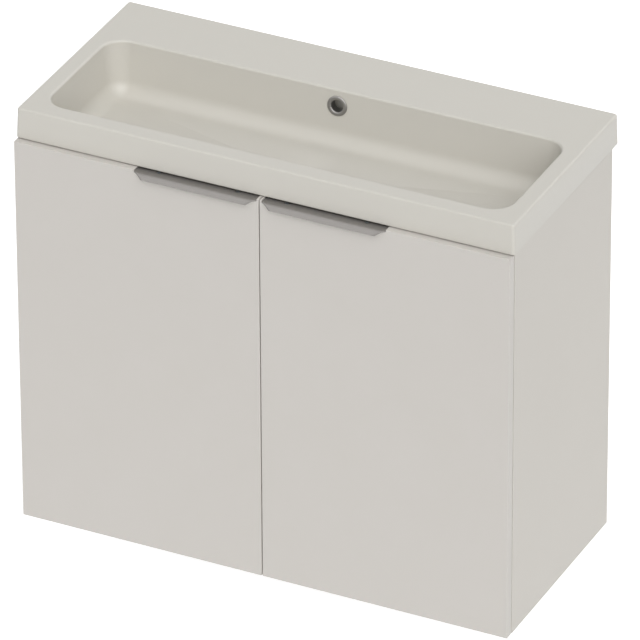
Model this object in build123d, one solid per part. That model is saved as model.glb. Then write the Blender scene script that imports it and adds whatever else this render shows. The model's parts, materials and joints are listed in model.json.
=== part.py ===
from build123d import *
import os
from math import atan2, degrees, hypot, radians, tan

# Wall-hung vanity unit with two doors and a ceramic basin. Sizes in millimetres.
# x runs across the unit, y runs back to the wall at y = 0, and z runs up from the underside of the
# cabinet. At the very end everything is lowered, so that the origin is the centre of the wall fixings.

# Cabinet
cabinet_width = 800
carcass_height = 645
board = 15
wall_gap = 18
unit_depth = 374
edge_radius = 0.8

# Doors
door_thickness = 15
door_height = 643
door_to_carcass = 1.5
middle_gap = 1.6
side_reveal = 0.5

# Basin
basin_width = 803
basin_depth = 363.5
rim_height = 48
rim_taper = 2.0
rim_corner = 5
rim_top_radius = 3.5
ceramic = 10
bowl_length = 744
bowl_width = 221
bowl_front_rim = 31.5
bowl_corner = 34
bowl_wall_angle = 4.6
bowl_floor_drop = 86
bowl_floor_radius = 26
bowl_lip_radius = 4
waste_radius = 23
waste_seat_radius = 33
waste_seat_drop = 97.5
waste_y = -218
overflow_drop = 27
overflow_hole_radius = 11.5

# Handles
handle_length = 198
handle_from_middle = 4.5
handle_sheet = 2
handle_sunk = 1.5
handle_seat = 14.6
handle_reach = 9
handle_drop = 7
handle_bend = 7
handle_bend_start = 3.5
handle_taper = 21
handle_corner = 7
handle_screw_spacing = 128
handle_screw_setback = 11.2

# Inside the cabinet
shelf_height = 300
shelf_setback = 10
shelf_notch_width = 200
shelf_notch_depth = 110
front_rail_height = 60
front_rail_drop = 15
upper_rail_height = 120
lower_rail_height = 80

# Wall hanging
wall_fixing_height = 566
wall_plate_x = 355
wall_hole_radius = 3.5
wall_hole_spacing = 26

# Worked out from the sizes above
half_width = cabinet_width / 2
inner_half = half_width - board
door_front = -unit_depth
door_back = door_front + door_thickness
carcass_front = door_back + door_to_carcass
carcass_back = -wall_gap
basin_top = carcass_height + rim_height
bowl_front = -basin_depth + bowl_front_rim
bowl_centre_y = bowl_front + bowl_width / 2
floor_edge_z = basin_top - bowl_floor_drop
seat_z = basin_top - waste_seat_drop


def block(x0, x1, y0, y1, z0, z1):
    return Pos((x0 + x1) / 2, (y0 + y1) / 2, (z0 + z1) / 2) * Box(x1 - x0, y1 - y0, z1 - z0)


def rod_x(x0, x1, y, z, radius):
    return Pos((x0 + x1) / 2, y, z) * Rot(0, 90, 0) * Cylinder(radius, abs(x1 - x0))


def rod_y(x, y0, y1, z, radius):
    return Pos(x, (y0 + y1) / 2, z) * Rot(90, 0, 0) * Cylinder(radius, abs(y1 - y0))


def rod_z(x, y, z0, z1, radius):
    return Pos(x, y, (z0 + z1) / 2) * Cylinder(radius, abs(z1 - z0))


def joined(shapes):
    # several solids kept apart in one part
    return Compound([solid for shape in shapes for solid in shape.solids()])


def softened(board_block):
    return fillet(board_block.edges(), edge_radius)


# Holes and fittings shared by the boards

cam_radius = 7.5
cam_depth = 12.5
cam_inset = 34
cam_bolt_radius = 3
cam_bolt_bite = 10
fitting_clearance = 0.1
shelf_pin_radius = 2.5
shelf_pin_depth = 8
shelf_pin_rows = (shelf_height - 64, shelf_height, shelf_height + 64)
shelf_pin_depths = (carcass_front + 50, carcass_back - 60)
hinge_heights = (95, 535)
plate_screw_inset = 37
plate_screw_half_spacing = 16
plate_screw_radius = 2.5
plate_screw_length = 11
hanger_dowel_radius = 5
hanger_dowel_length = 11


# Each cam joint, as the depth and height of its bolt. The discs sit at cam_inset from the side panel.
front_rail_y = carcass_front + board / 2
back_rail_y = carcass_back - board / 2
front_rail_z = carcass_height - front_rail_drop - front_rail_height / 2
upper_rail_z = carcass_height - upper_rail_height + 28
lower_rail_z = board + lower_rail_height / 2
bottom_cams = [(carcass_front + 40, board / 2), (carcass_back - 60, board / 2)]
rail_cams = [(front_rail_y, front_rail_z), (back_rail_y, upper_rail_z), (back_rail_y, lower_rail_z)]


def cam_bolt_bores(radius):
    # bolts run across, from the disc into the left side panel
    x_disc = -inner_half + cam_inset - cam_radius
    return [rod_x(-inner_half - cam_bolt_bite, x_disc, y, z, radius) for y, z in bottom_cams + rail_cams]


def cam_disc_bores(radius, depth):
    # discs drop in from below in the bottom board, and from inside the cabinet in the rails
    x = -inner_half + cam_inset
    bores = [rod_z(x, y, 0, depth, radius) for y, z in bottom_cams]
    bores.append(rod_y(x, front_rail_y + board / 2 - depth, front_rail_y + board / 2, front_rail_z, radius))
    for z in (upper_rail_z, lower_rail_z):
        bores.append(rod_y(x, back_rail_y - board / 2, back_rail_y - board / 2 + depth, z, radius))
    return bores


def both_sides(shapes):
    return list(shapes) + [mirror(shape, about=Plane.YZ) for shape in shapes]


def fitting_cuts():
    bolt_bores = cam_bolt_bores(cam_bolt_radius + fitting_clearance)
    return both_sides(bolt_bores + cam_disc_bores(cam_radius, cam_depth))


# Cabinet boards

def side_panel():
    panel = softened(block(-half_width, -inner_half, carcass_front, carcass_back, 0, carcass_height))
    for y in shelf_pin_depths:
        for z in shelf_pin_rows:
            panel -= rod_x(-inner_half - shelf_pin_depth, -inner_half, y, z, shelf_pin_radius + 0.05)
    for z in hinge_heights:
        for side in (-1, 1):
            y = carcass_front + plate_screw_inset
            z_hole = z + side * plate_screw_half_spacing
            end = -inner_half - plate_screw_length
            panel -= rod_x(end, -inner_half, y, z_hole, plate_screw_radius + 0.05)
    for y, z in hanger_dowels():
        panel -= rod_x(-inner_half - hanger_dowel_length, -inner_half, y, z, hanger_dowel_radius + 0.05)
    return panel - cam_bolt_bores(cam_bolt_radius + fitting_clearance)


def bottom_panel():
    panel = block(-inner_half, inner_half, carcass_front, carcass_back, 0, board)
    return panel - fitting_cuts()


def front_rail():
    top = carcass_height - front_rail_drop
    rail = block(-inner_half, inner_half, carcass_front, carcass_front + board, top - front_rail_height, top)
    return rail - fitting_cuts()


def back_rail_upper():
    rail = block(-inner_half, inner_half, carcass_back - board, carcass_back,
                 carcass_height - upper_rail_height, carcass_height)
    notch = block(-inner_half, -inner_half + hanger_width + 4, carcass_back - board, carcass_back,
                  hanger_bottom - 4, carcass_height)
    return rail - both_sides([notch]) - fitting_cuts()


def back_rail_lower():
    rail = block(-inner_half, inner_half, carcass_back - board, carcass_back,
                 board, board + lower_rail_height)
    return rail - fitting_cuts()


def shelf():
    front = carcass_front + shelf_setback
    back = carcass_back - board - 4
    shelf_board = block(-inner_half + 1, inner_half - 1, front, back, shelf_height, shelf_height + board)
    half_notch = shelf_notch_width / 2
    notch = block(-half_notch, half_notch, back - shelf_notch_depth, back, shelf_height, shelf_height + board)
    upright = (shelf_board - notch).edges().filter_by(Axis.Z)
    corners = upright.filter_by_position(Axis.X, -half_notch, half_notch)
    return fillet(corners.sort_by(Axis.Y)[:2], 30)


def shelf_pins():
    pins = []
    for y in shelf_pin_depths:
        shank = rod_x(-inner_half - shelf_pin_depth, -inner_half + 9, y, shelf_height, shelf_pin_radius)
        shank -= block(-inner_half, -inner_half + 9, y - 5, y + 5, shelf_height, shelf_height + 5)
        collar = rod_x(-inner_half, -inner_half + 0.9, y, shelf_height - 1, 3.9)
        collar -= block(-inner_half, -inner_half + 1, y - 5, y + 5, shelf_height, shelf_height + 5)
        pins.append(shank + collar)
    return joined(both_sides(pins))


def cam_discs():
    slot_depth = 2.5
    x = -inner_half + cam_inset
    discs = cam_disc_bores(cam_radius - fitting_clearance, cam_depth - fitting_clearance)
    slotted = []
    for disc, (y, z) in zip(discs, bottom_cams + rail_cams):
        if (y, z) in bottom_cams:
            disc = disc - block(x - 8, x + 8, y - 8, y + 8, 0, 1.1)
            slots = [block(x - 5, x + 5, y - 0.8, y + 0.8, 1, 1 + slot_depth),
                     block(x - 0.8, x + 0.8, y - 5, y + 5, 1, 1 + slot_depth)]
        else:
            face = front_rail_y + board / 2 if y == front_rail_y else back_rail_y - board / 2
            slots = [block(x - 5, x + 5, face - slot_depth, face + slot_depth, z - 0.8, z + 0.8),
                     block(x - 0.8, x + 0.8, face - slot_depth, face + slot_depth, z - 5, z + 5)]
        slotted.append(disc - slots)
    return joined(both_sides(slotted))


def cam_bolts():
    bolts = []
    for y, z in bottom_cams + rail_cams:
        x_disc = -inner_half + cam_inset - cam_radius
        bolts.append(rod_x(-inner_half - cam_bolt_bite, x_disc - 0.2, y, z, cam_bolt_radius))
    return joined(both_sides(bolts))


def bottom_caps():
    x = -inner_half + cam_inset
    caps = [rod_z(x, y, 0, 1, cam_radius - fitting_clearance) for y, z in bottom_cams]
    return joined(both_sides(caps))


# Hanging hardware, drawn for the left corner

hanger_width = 16
hanger_depth = 59
hanger_bottom = 575
hanger_top = 640
hanger_wall = 1.5
hook_thickness = 3
hook_underside = wall_fixing_height + 46
hook_height = 12
hook_tip_drop = 12


def hanger_dowels():
    back = carcass_back
    return [(back - 18, hanger_bottom + 14), (back - 42, hanger_top - 14)]


def hanger_housing():
    x0 = -inner_half
    y1 = carcass_back
    y0 = y1 - hanger_depth
    housing = block(x0, x0 + hanger_width, y0, y1, hanger_bottom, hanger_top)
    housing = fillet(housing.edges().filter_by(Axis.X), 4)
    pocket = block(x0 + hanger_wall, x0 + hanger_width, y0 + hanger_wall, y1 - hanger_wall,
                   hanger_bottom + hanger_wall, hanger_top - hanger_wall)
    slot_x = x0 + hanger_width / 2
    slot = block(slot_x - 2.5, slot_x + 2.5, y1 - 5, y1 + 1,
                 hook_underside - 4, hook_underside + hook_height + 4)
    housing = housing - pocket - slot
    for y, z in hanger_dowels():
        housing += rod_x(x0 - hanger_dowel_length, x0, y, z, hanger_dowel_radius)
    for z in hanger_screw_heights:
        housing -= rod_y(slot_x, y0 - 1, y0 + 5, z, 2.6)
    return housing


hanger_screw_heights = (hanger_bottom + 20, hanger_top - 20)


def hanger_hook():
    # a steel strap whose nose drops behind the lip of the wall plate
    x = -inner_half + hanger_width / 2
    front = carcass_back - hanger_depth + 10
    nose_back = -1.5
    nose_front = -5.5
    top = hook_underside + hook_height
    profile = Polyline(
        (front, hook_underside - 14), (front, top), (nose_back, top),
        (nose_back, hook_underside - hook_tip_drop), (nose_front, hook_underside - hook_tip_drop),
        (nose_front, hook_underside), (front + 22, hook_underside), (front + 22, hook_underside - 14),
        close=True)
    plate = extrude(Plane.YZ * make_face(profile), amount=hook_thickness / 2, both=True)
    plate = Pos(x, 0, 0) * plate
    return fillet(plate.edges().filter_by(Axis.X), 1.2)


def hanger_screws():
    x = -inner_half + hanger_width / 2
    y0 = carcass_back - hanger_depth
    screws = []
    for z in hanger_screw_heights:
        head = rod_y(x, y0 - 2.2, y0, z, 4.2)
        head -= block(x - 2.6, x + 2.6, y0 - 2.4, y0 - 1, z - 0.5, z + 0.5)
        head -= block(x - 0.5, x + 0.5, y0 - 2.4, y0 - 1, z - 2.6, z + 2.6)
        screws.append(head + rod_y(x, y0, y0 + 8, z, 2.5))
    return joined(both_sides(screws))


def hanger_cap():
    x0 = -inner_half + hanger_width
    y1 = carcass_back
    cap = block(x0, x0 + 1.6, y1 - hanger_depth, y1 - board - 0.5, hanger_bottom, hanger_top)
    return fillet(cap.edges().filter_by(Axis.X), 4)


def wall_plate():
    # a steel plate flat on the wall, whose top edge steps forward into a lip for the hook
    sheet = 2.5
    lip_gap = 6.5
    low = wall_fixing_height - 25
    knee = wall_fixing_height + 25
    path = FilletPolyline(
        (-sheet / 2, low), (-sheet / 2, knee), (-lip_gap - sheet / 2, knee + 8),
        (-lip_gap - sheet / 2, hook_underside), radius=2.5)
    section = trace(path, line_width=sheet)
    plate = extrude(Plane.YZ * section, amount=28, both=True)
    plate = Pos(-wall_plate_x, 0, 0) * plate
    for side in (-1, 1):
        z = wall_fixing_height + side * wall_hole_spacing / 2
        plate -= rod_y(-wall_plate_x, -6, 1, z, wall_hole_radius)
    return plate


def wall_spacer():
    x = -wall_plate_x
    z = board + lower_rail_height / 2 + 8
    pad = rod_y(x + 40, -wall_gap, 0, z, 14)
    pad = fillet(pad.edges().filter_by(GeomType.CIRCLE), 1.2)
    return pad


# Basin

def bowl_form(grow, top_z, drop, floor_size):
    # leaning walls with a rounded foot, then a shallow funnel to the waste
    # the bowl's outside is the same form, grown by the wall and dropped by the floor
    foot_z = floor_edge_z - drop
    inset = tan(radians(bowl_wall_angle)) * (basin_top - top_z)
    length = bowl_length + 2 * grow - 2 * inset
    width = bowl_width + 2 * grow - 2 * inset
    outline = Pos(0, bowl_centre_y, top_z) * RectangleRounded(length, width, bowl_corner + grow)
    walls = extrude(outline, amount=foot_z - top_z, taper=bowl_wall_angle)
    foot_radius = bowl_floor_radius + drop / 2
    walls = fillet(walls.edges().group_by(Axis.Z)[0], foot_radius)
    edge = foot_radius * 0.93 + tan(radians(bowl_wall_angle)) * (top_z - foot_z)
    floor = Pos(0, bowl_centre_y, foot_z) * RectangleRounded(length - 2 * edge, width - 2 * edge, 20)
    round_waste = RectangleRounded(floor_size, floor_size, floor_size / 2 - 1)
    funnel = loft([floor, Pos(0, waste_y, seat_z + 1.5 - drop) * round_waste], ruled=True)
    return walls + funnel


def overflow_duct():
    # a hollow channel cast behind the bowl, from the overflow hole down to the waste
    outer_half = 19
    outside = block(-outer_half, outer_half, bowl_back_y - 2, bowl_back_y + 27, seat_z - 34, basin_top - 9)
    outside += block(-outer_half, outer_half, waste_y, bowl_back_y + 27, seat_z - 34, seat_z - 3)
    corner = outside.edges().filter_by(Axis.X).sort_by(Axis.Z)[:2].sort_by(Axis.Y)[-1]
    return fillet(corner, 16)


def overflow_passage():
    half = 12
    chimney = block(-half, half, bowl_back_y + 8, bowl_back_y + 21, seat_z - 28, basin_top - 16)
    channel = block(-half, half, waste_y, bowl_back_y + 21, seat_z - 28, seat_z - 14)
    passage = chimney + channel
    corner = passage.edges().filter_by(Axis.X).sort_by(Axis.Z)[:2].sort_by(Axis.Y)[-1]
    return fillet(corner, 10)


bowl_back_y = bowl_front + bowl_width
overflow_z = basin_top - overflow_drop
overflow_y = bowl_back_y - tan(radians(bowl_wall_angle)) * overflow_drop


def overflow_place():
    # on the bowl's back wall, facing the bowl square to that wall
    return Pos(0, overflow_y, overflow_z) * Rot(90 - bowl_wall_angle, 0, 0)


def basin_block():
    trim = 4
    outline = Pos(0, (trim - basin_depth) / 2, carcass_height) * Rectangle(basin_width, basin_depth + trim)
    rim = extrude(outline, amount=rim_height, taper=rim_taper)
    rim &= block(-half_width - 10, half_width + 10, -unit_depth, 0, carcass_height, basin_top)
    upright = [edge for edge in rim.edges() if abs(edge.bounding_box().size.Z - rim_height) < 0.5]
    rim = fillet(upright, rim_corner)
    return fillet(rim.edges().group_by(Axis.Z)[-1], rim_top_radius)


def basin():
    rim = basin_block()
    half = basin_width / 2 - ceramic
    under = block(-half, half, -basin_depth + ceramic, -ceramic, carcass_height, basin_top - ceramic)
    body = rim - under
    body += bowl_form(ceramic - 1, basin_top - 4, 10, 96)
    body += overflow_duct()
    body += rod_z(0, waste_y, seat_z - 34, seat_z, 40)
    body -= bowl_form(0, basin_top + 0.01, 0, 76)
    body -= rod_z(0, waste_y, seat_z, seat_z + 20, waste_seat_radius)
    body -= overflow_passage()
    body -= rod_z(0, waste_y, seat_z - 40, seat_z + 20, waste_radius)
    body -= overflow_place() * Cylinder(overflow_hole_radius, 40)
    lip = [edge for edge in body.edges() if edge.center().Z > basin_top - 0.2
           and abs(edge.center().X) < bowl_length / 2 + 1
           and bowl_front - 1 < edge.center().Y < bowl_back_y + 1]
    return fillet(lip, bowl_lip_radius)


def overflow_ring():
    # a turned trim ring: flange on the bowl's wall and a short sleeve in the hole
    profile = Polyline((8.5, -16), (8.5, 1), (10, 2.6), (12.8, 2.6), (15, 0.9), (15, 0.05), (11.3, 0.05),
                       (11.3, -16), close=True)
    ring = revolve(Plane.XZ * make_face(profile), axis=Axis.Z)
    return overflow_place() * ring


# Doors and handles, drawn for the left door

door_outer = -half_width + side_reveal
door_inner = -middle_gap / 2
cup_from_edge = 22.5
cup_radius = 17.5
cup_depth = 11.8
cup_screw_half_spacing = 22.5
cup_screw_inset = 9.5
cup_x = door_outer + cup_from_edge
cup_screw_x = cup_x + cup_screw_inset
handle_centre_x = -handle_from_middle - handle_length / 2


def door():
    panel = softened(block(door_outer, door_inner, door_front, door_back, 0, door_height))
    half = handle_length / 2 + 0.5
    panel -= block(handle_centre_x - half, handle_centre_x + half, door_front - 1, door_back + 1,
                   door_height - handle_sunk - handle_sheet, door_height + 1)
    for z in hinge_heights:
        panel -= rod_y(cup_x, door_back - cup_depth, door_back, z, cup_radius + 0.1)
        for side in (-1, 1):
            z_screw = z + side * cup_screw_half_spacing
            panel -= rod_y(cup_screw_x, door_back - 10, door_back, z_screw, 1.8)
    for x in handle_screw_places():
        panel -= rod_z(x, door_front + handle_screw_setback, door_height - 25, door_height, 1.8)
    return panel


def handle_screw_places():
    return [handle_centre_x - handle_screw_spacing / 2, handle_centre_x + handle_screw_spacing / 2]


def handle():
    # pressed sheet: a flat seat let into the door's top edge, and a lip that bends forward and down
    top = door_height - handle_sunk
    line = FilletPolyline(
        (door_front + handle_seat, top), (door_front - handle_bend_start, top),
        (door_front - handle_reach, top - handle_drop), radius=handle_bend)
    section = make_face(Wire(line.edges()).offset_2d(handle_sheet, side=Side.LEFT).edges())
    sheet = extrude(Plane.YZ * section, amount=handle_length / 2, both=True)
    # seen from above, the lip narrows towards its front edge and has rounded corners
    half = handle_length / 2
    front = door_front - handle_reach - handle_sheet
    narrow = half - handle_taper
    outline = make_face(Polyline((-half, door_back), (-half, door_front), (-narrow, front), (narrow, front),
                                 (half, door_front), (half, door_back), close=True))
    outline = fillet(outline.vertices().group_by(Axis.Y)[0], handle_corner)
    sheet &= extrude(Pos(0, 0, top - 30) * outline, amount=60)
    sheet = Pos(handle_centre_x, 0, 0) * sheet
    for x in handle_screw_places():
        sheet -= countersunk(x, top, 2.0)
    return sheet


def countersunk(x, top, shank):
    sink = Pos(x, door_front + handle_screw_setback, top - 0.8) * Cone(shank, shank + 1.6, 1.6)
    return sink + rod_z(x, door_front + handle_screw_setback, top - 20, top, shank)


def handle_screws():
    top = door_height - handle_sunk
    place_y = door_front + handle_screw_setback
    screws = []
    for x in handle_screw_places():
        head = Pos(x, place_y, top - 0.85) * Cone(1.75, 3.3, 1.5)
        cross = [block(x - 1.8, x + 1.8, place_y - 0.4, place_y + 0.4, top - 1, top + 1),
                 block(x - 0.4, x + 0.4, place_y - 1.8, place_y + 1.8, top - 1, top + 1)]
        screws.append(head + rod_z(x, place_y, top - 20, top - 1.55, 1.75) - cross)
    return joined(screws)


def door_buffers():
    # soft domes on the back of the door, opposite the bottom board and the front rail
    x = door_inner - 20
    buffers = []
    for z in (board / 2, front_rail_z + 15):
        pad = rod_y(x, door_back, door_back + door_to_carcass - 0.3, z, 4)
        buffers.append(fillet(pad.faces().sort_by(Axis.Y)[-1].edges(), 0.8))
    return joined(buffers)


# Concealed hinges, two on each door, drawn for the left door. The nose of the fixed arm reaches into
# the cup. A link swings on the nose and carries the cup, and with it the door, out and round the
# cabinet's edge. Points here are measured inward from the cabinet's side and back from the door front.

link_half_width = 1.9
nose_pivot = (10.48, 6.22)
cup_pivot = (37.1, 13.6)
nose_path = [(22, 32), (22, 18), nose_pivot]
pin_radius = 1.1
running_clearance = 0.05
nose_half_thickness = 2.3
link_inner = 2.6
link_outer = 4.0
lug_inner = 4.35
lug_outer = 5.75
cup_sheet = 0.6
cup_flange = 0.9
plate_thickness = 2
plate_top = 22
arm_sheet = 1.2
arm_front = 20.5
arm_back = 70
arm_half_width = 8.6
arm_screw_depths = (46, 62)


def from_corner(point):
    return (-half_width + point[0], door_front + point[1])


def bar(start, end, half_width_of_bar):
    # a flat bar with round ends, seen from above
    x0, y0 = from_corner(start)
    x1, y1 = from_corner(end)
    middle = Pos((x0 + x1) / 2, (y0 + y1) / 2)
    length = hypot(x1 - x0, y1 - y0)
    angle = degrees(atan2(y1 - y0, x1 - x0))
    return middle * Rot(0, 0, angle) * SlotCenterToCenter(length, 2 * half_width_of_bar)


def disc_at(point, radius):
    x, y = from_corner(point)
    return Pos(x, y) * Circle(radius)


def layer(sketch, z, low, high):
    # the sketch as a plate between two distances above the hinge's middle, and its twin below
    plate = Pos(0, 0, z + low) * extrude(sketch, amount=high - low)
    return [plate, mirror(plate, about=Plane.XY.offset(z))]


def slab(sketch, z, half_height):
    return Pos(0, 0, z) * extrude(sketch, amount=half_height, both=True)


def pivot_bores(z, point, reach):
    return slab(disc_at(point, pin_radius + running_clearance), z, reach)


def hinge_link(z):
    # a folded steel channel: two cheeks either side of the nose, and a web along the cup's floor
    outline = bar(nose_pivot, cup_pivot, link_half_width)
    link = slab(outline, z, link_outer)
    run = (cup_pivot[0] - nose_pivot[0], cup_pivot[1] - nose_pivot[1])
    length = hypot(*run)
    along = (run[0] / length, run[1] / length)
    lift = 0.9
    shifted_start = (nose_pivot[0] - along[1] * lift, nose_pivot[1] + along[0] * lift)
    shifted_end = (cup_pivot[0] - along[1] * lift, cup_pivot[1] + along[0] * lift)
    hollow = bar(shifted_start, shifted_end, link_half_width)
    hollow += disc_at(nose_pivot, link_half_width + 1.4) + disc_at(cup_pivot, link_half_width + 1.4)
    link -= slab(hollow, z, link_inner)
    return link - pivot_bores(z, nose_pivot, 10) - pivot_bores(z, cup_pivot, 10)


def hinge_links():
    return joined([hinge_link(z) for z in hinge_heights])


def hinge_arm_pins():
    return joined([slab(disc_at(nose_pivot, pin_radius), z, link_outer) for z in hinge_heights])


def hinge_cup_pins():
    return joined([slab(disc_at(cup_pivot, pin_radius), z, lug_outer) for z in hinge_heights])


def hinge_cup(z):
    # a pressed cup with a flange on the door's back, and two lugs inside that hold the pin
    bottom = door_back - cup_depth + 0.05
    cup = rod_y(cup_x, bottom, door_back + cup_flange, z, cup_radius)
    cup = fillet(cup.faces().sort_by(Axis.Y)[0].edges(), 1.2)
    wings = Pos(cup_x + 9, 0, z) * Rot(90, 0, 0) * extrude(RectangleRounded(14, 57, 5), amount=-cup_flange)
    flange = rod_y(cup_x, door_back, door_back + cup_flange, z, cup_radius + 1)
    cup += flange + Pos(0, door_back, 0) * wings
    inside = rod_y(cup_x, bottom + cup_sheet, door_back + 5, z, cup_radius - 0.8)
    x, y = from_corner(cup_pivot)
    foot_y = bottom + cup_sheet / 2
    lug = disc_at(cup_pivot, 2.3) + Pos(x - 1, (y + foot_y) / 2) * Rectangle(6.6, y - foot_y)
    lugs = [plate & rod_y(cup_x, foot_y, door_back + 5, z, cup_radius - 0.4) for plate in
            layer(lug, z, lug_inner, lug_outer)]
    cup = cup - inside + lugs
    for side in (-1, 1):
        cup -= rod_y(cup_screw_x, door_back - 1, door_back + 2, z + side * cup_screw_half_spacing, 2)
    return cup - pivot_bores(z, cup_pivot, 10)


def hinge_cups():
    return joined([hinge_cup(z) for z in hinge_heights])


def hinge_cup_screws():
    screws = []
    back = door_back + cup_flange
    for z in hinge_heights:
        for side in (-1, 1):
            z_screw = z + side * cup_screw_half_spacing
            screws.append(screw_y(cup_screw_x, back, z_screw))
    return joined(screws)


def screw_y(x, seat_y, z):
    # a pan head screw driven forwards, with a cross recess
    head = rod_y(x, seat_y, seat_y + 1.5, z, 3)
    head = fillet(head.faces().sort_by(Axis.Y)[-1].edges(), 0.9)
    cross = [block(x - 1.8, x + 1.8, seat_y + 0.7, seat_y + 2, z - 0.4, z + 0.4),
             block(x - 0.4, x + 0.4, seat_y + 0.7, seat_y + 2, z - 1.8, z + 1.8)]
    return head - cross + rod_y(x, seat_y - 10, seat_y, z, 1.75)


def hinge_arm(z):
    # a folded channel over the mounting plate, drawn out at the front into the curved nose
    web_x = plate_top
    x0, y0 = from_corner((17.2, arm_front))
    x1, y1 = from_corner((web_x + arm_sheet, arm_back))
    arm = block(x0, x1, y0, y1, z - arm_half_width, z + arm_half_width)
    arm = fillet(arm.edges().filter_by(Axis.Y).sort_by(Axis.X)[-2:], 1.5)
    inner = arm_half_width - arm_sheet
    arm -= block(x0 - 1, x1 - arm_sheet, y0 + 6, y1 + 1, z - inner, z + inner)
    waist = block(x0 - 1, x1 + 1, y0 - 1, y0 + 9, z + 4.5, z + 10)
    arm -= [waist, mirror(waist, about=Plane.XY.offset(z))]
    nose = Sketch() + [bar(nose_path[0], nose_path[1], link_half_width),
                       bar(nose_path[1], nose_path[2], link_half_width)]
    arm += slab(nose, z, nose_half_thickness)
    for depth in arm_screw_depths:
        y = door_front + depth
        arm -= rod_x(x1 - 3, x1 + 3, y, z, 2.2)
    return arm - pivot_bores(z, nose_pivot, 10)


def hinge_arms():
    return joined([hinge_arm(z) for z in hinge_heights])


def hinge_plate(z):
    # cross-shaped: a raised rib under the arm, and two wings with screws into the side panel
    middle_y = carcass_front + plate_screw_inset
    x_side = -inner_half
    x_top = -half_width + plate_top
    rib_half = arm_half_width - arm_sheet - 0.2
    rib = block(x_side, x_top, door_front + 40, door_front + arm_back - 1, z - rib_half, z + rib_half)
    wings = extrude(RectangleRounded(45, 14, 6), amount=plate_thickness)
    plate = rib + Pos(x_side, middle_y, z) * Rot(0, 90, 0) * wings
    for side in (-1, 1):
        plate -= rod_x(x_side - 1, x_side + 4, middle_y, z + side * plate_screw_half_spacing, 2.6)
    for depth in arm_screw_depths:
        plate -= rod_x(x_top - 5, x_top + 1, door_front + depth, z, 2.05)
    return plate


def hinge_plates():
    return joined([hinge_plate(z) for z in hinge_heights])


def screw_x(seat_x, y, z, head_radius, shank_radius, length):
    head = rod_x(seat_x, seat_x + 1.8, y, z, head_radius)
    head = fillet(head.faces().sort_by(Axis.X)[-1].edges(), 0.9)
    cross = [block(seat_x + 0.8, seat_x + 3, y - 1.9, y + 1.9, z - 0.4, z + 0.4),
             block(seat_x + 0.8, seat_x + 3, y - 0.4, y + 0.4, z - 1.9, z + 1.9)]
    return head - cross + rod_x(seat_x - length, seat_x, y, z, shank_radius)


def hinge_plate_screws():
    screws = []
    seat_x = -inner_half + plate_thickness
    y = carcass_front + plate_screw_inset
    for z in hinge_heights:
        for side in (-1, 1):
            z_screw = z + side * plate_screw_half_spacing
            screws.append(screw_x(seat_x, y, z_screw, 3.6, plate_screw_radius, 12.8))
    return joined(screws)


def hinge_arm_screws():
    screws = []
    seat_x = -half_width + plate_top + arm_sheet
    for z in hinge_heights:
        for depth in arm_screw_depths:
            screws.append(screw_x(seat_x, door_front + depth, z, 3.4, 2, 6))
    return joined(screws)


sides = {"left": lambda shape: shape, "right": lambda shape: mirror(shape, about=Plane.YZ)}

single_nodes = {
    "bottom_panel": bottom_panel,
    "front_rail": front_rail,
    "back_rail_upper": back_rail_upper,
    "back_rail_lower": back_rail_lower,
    "shelf": shelf,
    "shelf_pins": shelf_pins,
    "cam_discs": cam_discs,
    "cam_bolts": cam_bolts,
    "bottom_caps": bottom_caps,
    "hanger_screws": hanger_screws,
    "basin": basin,
    "overflow_ring": overflow_ring,
}

paired_nodes = {
    "side_panel": side_panel,
    "hanger_housing": hanger_housing,
    "hanger_hook": hanger_hook,
    "hanger_cap": hanger_cap,
    "wall_plate": wall_plate,
    "wall_spacer": wall_spacer,
    "door": door,
    "handle": handle,
    "handle_screws": handle_screws,
    "door_buffers": door_buffers,
    "hinge_cups": hinge_cups,
    "hinge_cup_screws": hinge_cup_screws,
    "hinge_links": hinge_links,
    "hinge_arm_pins": hinge_arm_pins,
    "hinge_cup_pins": hinge_cup_pins,
    "hinge_arms": hinge_arms,
    "hinge_arm_screws": hinge_arm_screws,
    "hinge_plates": hinge_plates,
    "hinge_plate_screws": hinge_plate_screws,
}


def write(name, shape):
    lowered = Pos(0, 0, -wall_fixing_height) * shape
    export_step(lowered, os.path.join("parts", name + ".step"))


os.makedirs("parts", exist_ok=True)
for name, make in single_nodes.items():
    write(name, make())
for name, make in paired_nodes.items():
    left_piece = make()
    for side, place in sides.items():
        write(name + "_" + side, place(left_piece))
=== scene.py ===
import bpy
import bmesh
import json
from math import atan2, cos, radians, sin
from mathutils import Matrix, Vector


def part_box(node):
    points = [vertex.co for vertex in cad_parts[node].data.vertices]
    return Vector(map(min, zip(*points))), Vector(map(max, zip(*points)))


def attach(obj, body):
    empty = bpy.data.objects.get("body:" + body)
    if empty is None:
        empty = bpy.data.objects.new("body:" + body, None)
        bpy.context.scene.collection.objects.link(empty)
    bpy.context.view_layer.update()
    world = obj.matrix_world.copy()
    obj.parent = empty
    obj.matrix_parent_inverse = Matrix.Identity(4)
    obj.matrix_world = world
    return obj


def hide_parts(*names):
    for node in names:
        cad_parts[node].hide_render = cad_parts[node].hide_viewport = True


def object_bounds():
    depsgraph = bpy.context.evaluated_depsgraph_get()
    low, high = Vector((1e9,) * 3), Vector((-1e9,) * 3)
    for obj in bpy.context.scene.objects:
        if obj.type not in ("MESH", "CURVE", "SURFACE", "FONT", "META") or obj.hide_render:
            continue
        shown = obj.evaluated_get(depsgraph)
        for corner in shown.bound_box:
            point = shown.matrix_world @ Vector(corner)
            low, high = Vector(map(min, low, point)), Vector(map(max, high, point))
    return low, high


# Wall-hung vanity unit: lacquered doors, melamine carcass, fireclay basin, pressed edge handles.

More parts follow.
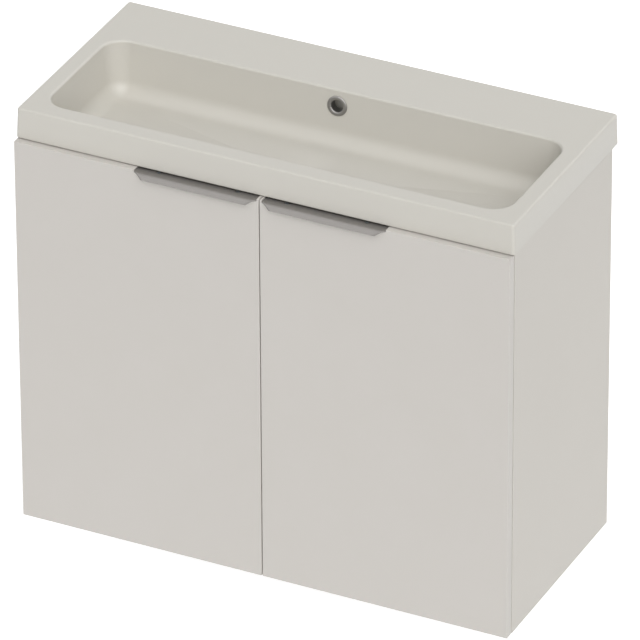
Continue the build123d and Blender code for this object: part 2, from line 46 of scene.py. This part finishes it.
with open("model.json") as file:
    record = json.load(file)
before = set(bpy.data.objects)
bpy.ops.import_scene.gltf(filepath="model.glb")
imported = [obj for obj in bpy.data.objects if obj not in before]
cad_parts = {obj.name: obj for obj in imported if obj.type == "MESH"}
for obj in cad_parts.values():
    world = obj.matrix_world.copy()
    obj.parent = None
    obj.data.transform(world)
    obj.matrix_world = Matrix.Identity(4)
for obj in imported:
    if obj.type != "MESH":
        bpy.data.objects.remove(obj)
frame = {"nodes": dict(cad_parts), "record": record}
cadLow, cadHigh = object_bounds()
nodes = frame["nodes"]
print("frame loaded:", len(nodes), "pieces")


def hexToLinear(hexCode):
    channels = [int(hexCode[i:i + 2], 16) / 255 for i in (1, 3, 5)]
    linear = [c / 12.92 if c <= 0.04045 else ((c + 0.055) / 1.055) ** 2.4 for c in channels]
    return (*linear, 1.0)


def addNode(tree, kind, settings=None, links=None):
    # settings are attributes or socket values; links feed a socket from (node, output)
    node = tree.nodes.new(kind)
    for key, value in (settings or {}).items():
        if isinstance(key, str) and hasattr(node, key):
            setattr(node, key, value)
        else:
            node.inputs[key].default_value = value
    for key, (source, output) in (links or {}).items():
        tree.links.new(source.outputs[output], node.inputs[key])
    return node


def newMaterial(name):
    material = bpy.data.materials.new(name)
    material.use_nodes = True
    material.node_tree.nodes.clear()
    return material, material.node_tree


def perMillimetre(size):
    # texture scale for a feature of that many millimetres, on Object coordinates in metres
    return 1000.0 / size


def addToScene(name, data):
    item = bpy.data.objects.new(name, data)
    bpy.context.scene.collection.objects.link(item)
    return item


def meshFrom(name, shape):
    # a smooth-shaded mesh from a finished bmesh, which is freed
    data = bpy.data.meshes.new(name)
    shape.to_mesh(data)
    shape.free()
    data.shade_smooth()
    return data


def standsFor(piece, node, body, slot):
    # the piece takes a solid's place, moves with its body and has its finish
    piece.data.materials.clear()
    piece.data.materials.append(finishes[slot])
    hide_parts(node)
    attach(piece, body)


def toneBetween(tree, look, pattern):
    # the two tones of a finish, mixed by a pattern
    tone = addNode(tree, "ShaderNodeMix", {"data_type": "RGBA"}, {"Factor": (pattern, "Fac")})
    tone.inputs[6].default_value = hexToLinear(look["tone"])
    tone.inputs[7].default_value = hexToLinear(look["toneDrift"])
    return tone


# Most of a noise pattern's values fall between these two.
patternSpan = {"From Min": 0.3, "From Max": 0.7}


def finishShader(tree, look, tone, pattern, sockets):
    # gloss and bump follow the fine pattern; what is even all over sits on the shader's own sockets
    gloss = addNode(tree, "ShaderNodeMapRange",
                    {**patternSpan, "To Min": look["roughness"] - look["roughDrift"],
                     "To Max": look["roughness"] + look["roughDrift"]}, {"Value": (pattern, "Fac")})
    bump = addNode(tree, "ShaderNodeBump", {"Strength": look["bump"], "Distance": look["bumpMm"] / 1000},
                   {"Height": (pattern, "Fac")})
    shader = addNode(tree, "ShaderNodeBsdfPrincipled", sockets,
                     {"Base Color": (tone, 2), "Roughness": (gloss, 0), "Normal": (bump, "Normal")})
    addNode(tree, "ShaderNodeOutputMaterial", links={"Surface": (shader, 0)})


def coatedSurface(name, look):
    # a finish with a faint tone drift, fine sheen variation and a shallow surface texture
    material, tree = newMaterial(name)
    place = addNode(tree, "ShaderNodeTexCoord")
    drift = addNode(tree, "ShaderNodeTexNoise",
                    {"Scale": perMillimetre(look["driftMm"]), "Detail": 2.0, "Roughness": 0.5},
                    {"Vector": (place, "Object")})
    grain = addNode(tree, "ShaderNodeTexNoise",
                    {"Scale": perMillimetre(look["grainMm"]), "Detail": 3.0, "Roughness": 0.55},
                    {"Vector": (place, "Object")})
    finishShader(tree, look, toneBetween(tree, look, drift), grain,
                 {"Metallic": 0.0, "IOR": look.get("ior", 1.5), "Coat Weight": look.get("coat", 0.0),
                  "Coat Roughness": look.get("coatRoughness", 0.1)})
    return material


def brushedSurface(name, look):
    # metal with drawn or rolled lines along one axis
    material, tree = newMaterial(name)
    place = addNode(tree, "ShaderNodeTexCoord")
    stretch = addNode(tree, "ShaderNodeMapping", {"Scale": look["stretch"]}, {"Vector": (place, "Object")})
    lines = addNode(tree, "ShaderNodeTexNoise",
                    {"Scale": perMillimetre(look["lineMm"]), "Detail": 3.0, "Roughness": 0.6},
                    {"Vector": (stretch, 0)})
    finishShader(tree, look, toneBetween(tree, look, lines), lines, {"Metallic": look["metallic"]})
    return material


# Satin lacquer sprayed on MDF: even tone, soft sheen, a trace of orange peel.
doorLacquer = {"tone": "#CDC9C4", "toneDrift": "#CBC7C1", "driftMm": 90, "grainMm": 2.5,
               "roughness": 0.42, "roughDrift": 0.03, "bump": 0.12, "bumpMm": 0.03}
# Melamine-faced board on the carcass: same colour, a little flatter, with a fine emboss.
carcassMelamine = {"tone": "#CFCBC4", "toneDrift": "#CDC9C2", "driftMm": 120, "grainMm": 1.6,
                   "roughness": 0.5, "roughDrift": 0.04, "bump": 0.15, "bumpMm": 0.04}
# Fireclay with a satin glaze: smooth, slightly warmer, with a soft coat over the body.
satinGlaze = {"tone": "#CDCAC2", "toneDrift": "#CBC8C0", "driftMm": 140, "grainMm": 6,
              "roughness": 0.4, "roughDrift": 0.03, "bump": 0.06, "bumpMm": 0.05, "coat": 0.15,
              "coatRoughness": 0.3}
# Brushed stainless handle: fine lines along the pull, dull and even.
brushedHandle = {"tone": "#918E8B", "toneDrift": "#888582", "lineMm": 0.9, "stretch": (0.05, 1, 1),
                 "metallic": 0.8, "roughness": 0.55, "roughDrift": 0.05, "bump": 0.06, "bumpMm": 0.02}
# Satin chrome on the overflow ring: soft highlights, a little darker than the glaze.
chromePlate = {"tone": "#9C9A97", "toneDrift": "#949290", "lineMm": 1.2, "stretch": (1, 1, 1),
               "metallic": 1.0, "roughness": 0.46, "roughDrift": 0.04, "bump": 0.03, "bumpMm": 0.01}
# Nickel-plated rolled steel on the hinges.
nickelSteel = {"tone": "#BDBBB6", "toneDrift": "#B1AFAA", "lineMm": 0.6, "stretch": (1, 1, 0.1),
               "metallic": 1.0, "roughness": 0.3, "roughDrift": 0.07, "bump": 0.08, "bumpMm": 0.02}
# Bright zinc on plates, hooks and screws: cooler, with cloudy passivation.
zincSteel = {"tone": "#B5BABF", "toneDrift": "#A3A8AC", "lineMm": 3.0, "stretch": (1, 1, 0.4),
             "metallic": 1.0, "roughness": 0.36, "roughDrift": 0.08, "bump": 0.06, "bumpMm": 0.02}
# Moulded white polypropylene on the hangers, caps and spacers: fine spark texture.
mouldedPlastic = {"tone": "#DEDDD9", "toneDrift": "#DAD9D5", "driftMm": 15, "grainMm": 0.7,
                  "roughness": 0.5, "roughDrift": 0.05, "bump": 0.2, "bumpMm": 0.04, "ior": 1.49}
# Soft polyurethane bumpers: clear on the real thing, a plain pale tone here.
softBumper = {"tone": "#D6D5CF", "toneDrift": "#D0CFC9", "driftMm": 5, "grainMm": 0.8,
              "roughness": 0.35, "roughDrift": 0.04, "bump": 0.05, "bumpMm": 0.02, "ior": 1.45}

finishes = {
    "door_board": coatedSurface("satinLacqueredMdf", doorLacquer),
    "cabinet_board": coatedSurface("melamineFacedBoard", carcassMelamine),
    "ceramic": coatedSurface("satinGlazedFireclay", satinGlaze),
    "handle_metal": brushedSurface("brushedStainless", brushedHandle),
    "chrome": brushedSurface("satinChrome", chromePlate),
    "hinge_steel": brushedSurface("nickelPlatedSteel", nickelSteel),
    "zinc_steel": brushedSurface("brightZincSteel", zincSteel),
    "white_plastic": coatedSurface("mouldedPolypropylene", mouldedPlastic),
    "clear_rubber": coatedSurface("softPolyurethane", softBumper),
}

slotOf = {part["node"]: part["material_slot"] for part in frame["record"]["subparts"]}
for name, node in nodes.items():
    node.data.materials.clear()
    node.data.materials.append(finishes[slotOf[name]])
print("finishes assigned")


# The overflow trim is turned metal, finer than the solid: a rolled flange round a short sleeve.
overflowTrim = {"flange": 0.0160, "bore": 0.0096, "rise": 0.0024, "edge": 0.0006, "roll": 0.6,
                "sleeveDepth": 0.012, "sleeveWall": 0.0008, "solidRise": 0.0026, "wallLean": 4.6,
                "steps": 72, "rollSteps": 8}


def trimProfile(settings):
    # radius and height of the flange's rolled top, then the sleeve down into the hole
    flange, bore, edge = settings["flange"], settings["bore"], settings["edge"]
    width = (flange - bore) / 2
    profile = [(flange, 0.0)]
    for step in range(settings["rollSteps"] + 1):
        turn = radians(180 * step / settings["rollSteps"])
        height = edge + (settings["rise"] - edge) * sin(turn) ** settings["roll"]
        profile.append((bore + width + width * cos(turn), height))
    sleeve = bore + settings["sleeveWall"]
    depth = -settings["sleeveDepth"]
    return profile + [(bore, 0.0), (bore, depth), (sleeve, depth), (sleeve, 0.0)]


def spunRing(name, settings):
    low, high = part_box("overflow_ring")
    middle = (Vector(low) + Vector(high)) / 2
    lean = radians(settings["wallLean"])
    out = Vector((0, -cos(lean), sin(lean)))  # square to the bowl's back wall
    side = Vector((1, 0, 0))
    up = side.cross(out) * -1
    reach = max((v.co - middle).dot(out) for v in nodes["overflow_ring"].data.vertices)
    seat = middle + out * (reach - settings["solidRise"])
    profile = trimProfile(settings)
    shape = bmesh.new()
    rings = []
    for step in range(settings["steps"]):
        angle = radians(360 * step / settings["steps"])
        spoke = side * cos(angle) + up * sin(angle)
        rings.append([shape.verts.new(seat + spoke * radius + out * height) for radius, height in profile])
    for here, there in zip(rings, rings[1:] + rings[:1]):
        for i in range(len(profile)):
            j = (i + 1) % len(profile)
            shape.faces.new((here[i], there[i], there[j], here[j]))
    bmesh.ops.recalc_face_normals(shape, faces=shape.faces)
    standsFor(addToScene(name, meshFrom(name, shape)), "overflow_ring", "cabinet", "chrome")


spunRing("overflowTrim", overflowTrim)
print("overflow trim made")


# The basin keeps its solid's shape, but its bowl floor falls to the waste in one soft curve.
bowlFloor = {"edgeDrop": 0.086, "seatDrop": 0.096, "waste": (0.0, -0.218), "seatRadius": 0.0336,
             "rings": 16, "longestEdge": 0.010, "softening": 1.8, "sharpAngle": 28, "flatWeight": 100,
             "upward": 0.9, "mergeWithin": 1e-6, "levelWithin": 1e-4, "edgeWithin": 2e-5}


def angleRound(point, centre):
    return atan2(point.y - centre[1], point.x - centre[0])


def openRim(shape, lowest):
    # open edges of the mesh that lie no lower than the floor's outer edge
    return [edge for edge in shape.edges if edge.is_boundary and min(v.co.z for v in edge.verts) > lowest]


def openBowlFloor(shape, edgeZ, seatZ, settings):
    # takes the flat facets out, and gives the floor's outer edge evenly spaced points
    facets = [face for face in shape.faces if face.normal.z > settings["upward"]
              and min(v.co.z for v in face.verts) > seatZ - settings["levelWithin"]
              and max(v.co.z for v in face.verts) < edgeZ + settings["edgeWithin"]]
    bmesh.ops.delete(shape, geom=facets, context="FACES")
    for edge in openRim(shape, edgeZ - settings["levelWithin"]):
        cuts = int(edge.calc_length() / settings["longestEdge"])
        if cuts:
            bmesh.ops.subdivide_edges(shape, edges=[edge], cuts=cuts)


def floorRing(shape, rim, along, z, settings):
    # one ring of points, part of the way from the floor's outer edge to a circle round the waste
    wasteX, wasteY = settings["waste"]
    ring = []
    for start in rim:
        turn = angleRound(start.co, settings["waste"])
        endX = wasteX + settings["seatRadius"] * cos(turn)
        endY = wasteY + settings["seatRadius"] * sin(turn)
        ring.append(shape.verts.new((start.co.x + (endX - start.co.x) * along,
                                     start.co.y + (endY - start.co.y) * along, z)))
    return ring


def smoothBasin(name, settings):
    top = Vector(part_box("basin")[1]).z
    edgeZ = top - settings["edgeDrop"]
    seatZ = top - settings["seatDrop"]
    shape = bmesh.new()
    shape.from_mesh(nodes["basin"].data)
    bmesh.ops.remove_doubles(shape, verts=shape.verts, dist=settings["mergeWithin"])
    openBowlFloor(shape, edgeZ, seatZ, settings)
    rimEdges = openRim(shape, edgeZ - settings["levelWithin"])
    seatEdges = [edge for edge in shape.edges if edge.is_boundary and edge not in rimEdges]
    rim = sorted({v for edge in rimEdges for v in edge.verts},
                 key=lambda v: angleRound(v.co, settings["waste"]))
    count = len(rim)
    ring = rim
    for step in range(1, settings["rings"] + 1):
        along = step / settings["rings"]
        z = edgeZ + (seatZ - edgeZ) * along ** settings["softening"]
        inner = floorRing(shape, rim, along, z, settings)
        for i in range(count):
            j = (i + 1) % count
            shape.faces.new((ring[i], ring[j], inner[j], inner[i]))
        ring = inner
    lastEdges = [shape.edges.get((ring[i], ring[(i + 1) % count])) for i in range(count)]
    bmesh.ops.bridge_loops(shape, edges=lastEdges + seatEdges)
    bmesh.ops.recalc_face_normals(shape, faces=shape.faces)
    print("basin's open edges:", sum(edge.is_boundary for edge in shape.edges))
    data = meshFrom(name, shape)
    data.set_sharp_from_angle(angle=radians(settings["sharpAngle"]))
    basin = addToScene(name, data)
    # flats stay flat beside the roundings
    weigh = basin.modifiers.new("evenNormals", "WEIGHTED_NORMAL")
    weigh.keep_sharp = True
    weigh.weight = settings["flatWeight"]
    shaped = basin.evaluated_get(bpy.context.evaluated_depsgraph_get())
    basin.data = bpy.data.meshes.new_from_object(shaped)
    basin.modifiers.clear()
    standsFor(basin, "basin", "cabinet", "ceramic")


smoothBasin("basinGlazed", bowlFloor)
print("basin made")


# The studio: a pale floor well below the hanging unit, a white surround and broad lamps.
studio = {"floorBelow": 0.30, "floorSize": 16.0, "ambient": 0.2, "ambientTone": "#F4F4F4",
          "floorTone": "#F2F2F2", "floorLift": 0.5, "lampSpread": 60, "lampTone": "#FFFFFF"}


def seenDirectly(tree):
    # 1 for camera, glossy and transmission rays, so that metal and glass show the camera's background
    rays = addNode(tree, "ShaderNodeLightPath")
    direct = addNode(tree, "ShaderNodeMath", {"operation": "MAXIMUM"},
                     {0: (rays, "Is Camera Ray"), 1: (rays, "Is Glossy Ray")})
    return addNode(tree, "ShaderNodeMath", {"operation": "MAXIMUM"},
                   {0: (direct, 0), 1: (rays, "Is Transmission Ray")})


def makeFloor(settings):
    half = settings["floorSize"] / 2
    level = cadLow.z - settings["floorBelow"]
    mesh = bpy.data.meshes.new("studioFloor")
    corners = [(-half, -half, level), (half, -half, level), (half, half, level), (-half, half, level)]
    mesh.from_pydata(corners, [], [(0, 1, 2, 3)])
    material, tree = newMaterial("paleFloor")
    lift = addNode(tree, "ShaderNodeMath", {"operation": "MULTIPLY", 1: settings["floorLift"]},
                   {0: (seenDirectly(tree), 0)})
    matt = addNode(tree, "ShaderNodeBsdfDiffuse", {"Color": hexToLinear(settings["floorTone"])})
    glow = addNode(tree, "ShaderNodeEmission", {"Color": (1, 1, 1, 1)}, {"Strength": (lift, 0)})
    both = addNode(tree, "ShaderNodeAddShader", links={0: (matt, 0), 1: (glow, 0)})
    addNode(tree, "ShaderNodeOutputMaterial", links={"Surface": (both, 0)})
    mesh.materials.append(material)
    addToScene("studioFloor", mesh)


def makeWorld(settings):
    world = bpy.data.worlds.new("paleRoom")
    bpy.context.scene.world = world
    world.use_nodes = True
    tree = world.node_tree
    tree.nodes.clear()
    room = addNode(tree, "ShaderNodeBackground",
                   {"Color": hexToLinear(settings["ambientTone"]), "Strength": settings["ambient"]})
    white = addNode(tree, "ShaderNodeBackground", {"Color": (1, 1, 1, 1), "Strength": 1.0})
    mix = addNode(tree, "ShaderNodeMixShader",
                  links={0: (seenDirectly(tree), 0), 1: (room, 0), 2: (white, 0)})
    addNode(tree, "ShaderNodeOutputWorld", links={"Surface": (mix, 0)})


def addSun(name, settings):
    sun = bpy.data.lights.new(name, "SUN")
    sun.energy = settings["strength"]
    sun.angle = radians(studio["lampSpread"])
    sun.color = hexToLinear(studio["lampTone"])[:3]
    holder = addToScene(name, sun)
    holder.matrix_world = Vector(settings["from"]).to_track_quat("Z", "Y").to_matrix().to_4x4()


# Broad lamps, the strongest from the front and right, weighed so that the top, the front and the side come
# out about the same. The bowl comes out darker.
suns = {
    "cornerPanel": {"from": (0.58, -0.58, 0.58), "strength": 1.12},
    "frontPanel": {"from": (0.35, -0.85, 0.55), "strength": 0.80},
    "highPanel": {"from": (0.30, -0.50, 0.85), "strength": 0.42},
    "ceilingPanel": {"from": (0.00, 0.10, 1.00), "strength": 0.32},
    "backPanel": {"from": (0.25, 0.75, 0.60), "strength": 0.65},
    "leftPanel": {"from": (-0.80, -0.20, 0.60), "strength": 0.30},
}

makeFloor(studio)
makeWorld(studio)
for sunName, sunSettings in suns.items():
    addSun(sunName, sunSettings)

# The camera stands far off with a long lens, as the photograph's near-parallel edges ask.
cameraSettings = {"at": (4.798, -10.014, 6.271), "lens": 483.75, "sensor": 36.0, "farthest": 100,
                  "right": (0.899843, 0.436197, -0.003916), "up": (-0.219743, 0.461033, 0.859745)}


def makeCamera(settings):
    data = bpy.data.cameras.new("photoCamera")
    data.lens = settings["lens"]
    data.sensor_width = settings["sensor"]
    data.clip_end = settings["farthest"]
    camera = addToScene("photoCamera", data)
    right = Vector(settings["right"]).normalized()
    up = Vector(settings["up"]).normalized()
    back = right.cross(up).normalized()
    up = back.cross(right)
    turn = Matrix((right, up, back)).transposed().to_4x4()
    camera.matrix_world = Matrix.Translation(settings["at"]) @ turn
    bpy.context.scene.camera = camera


makeCamera(cameraSettings)
bpy.context.scene.view_settings.view_transform = "Standard"
print("studio ready")
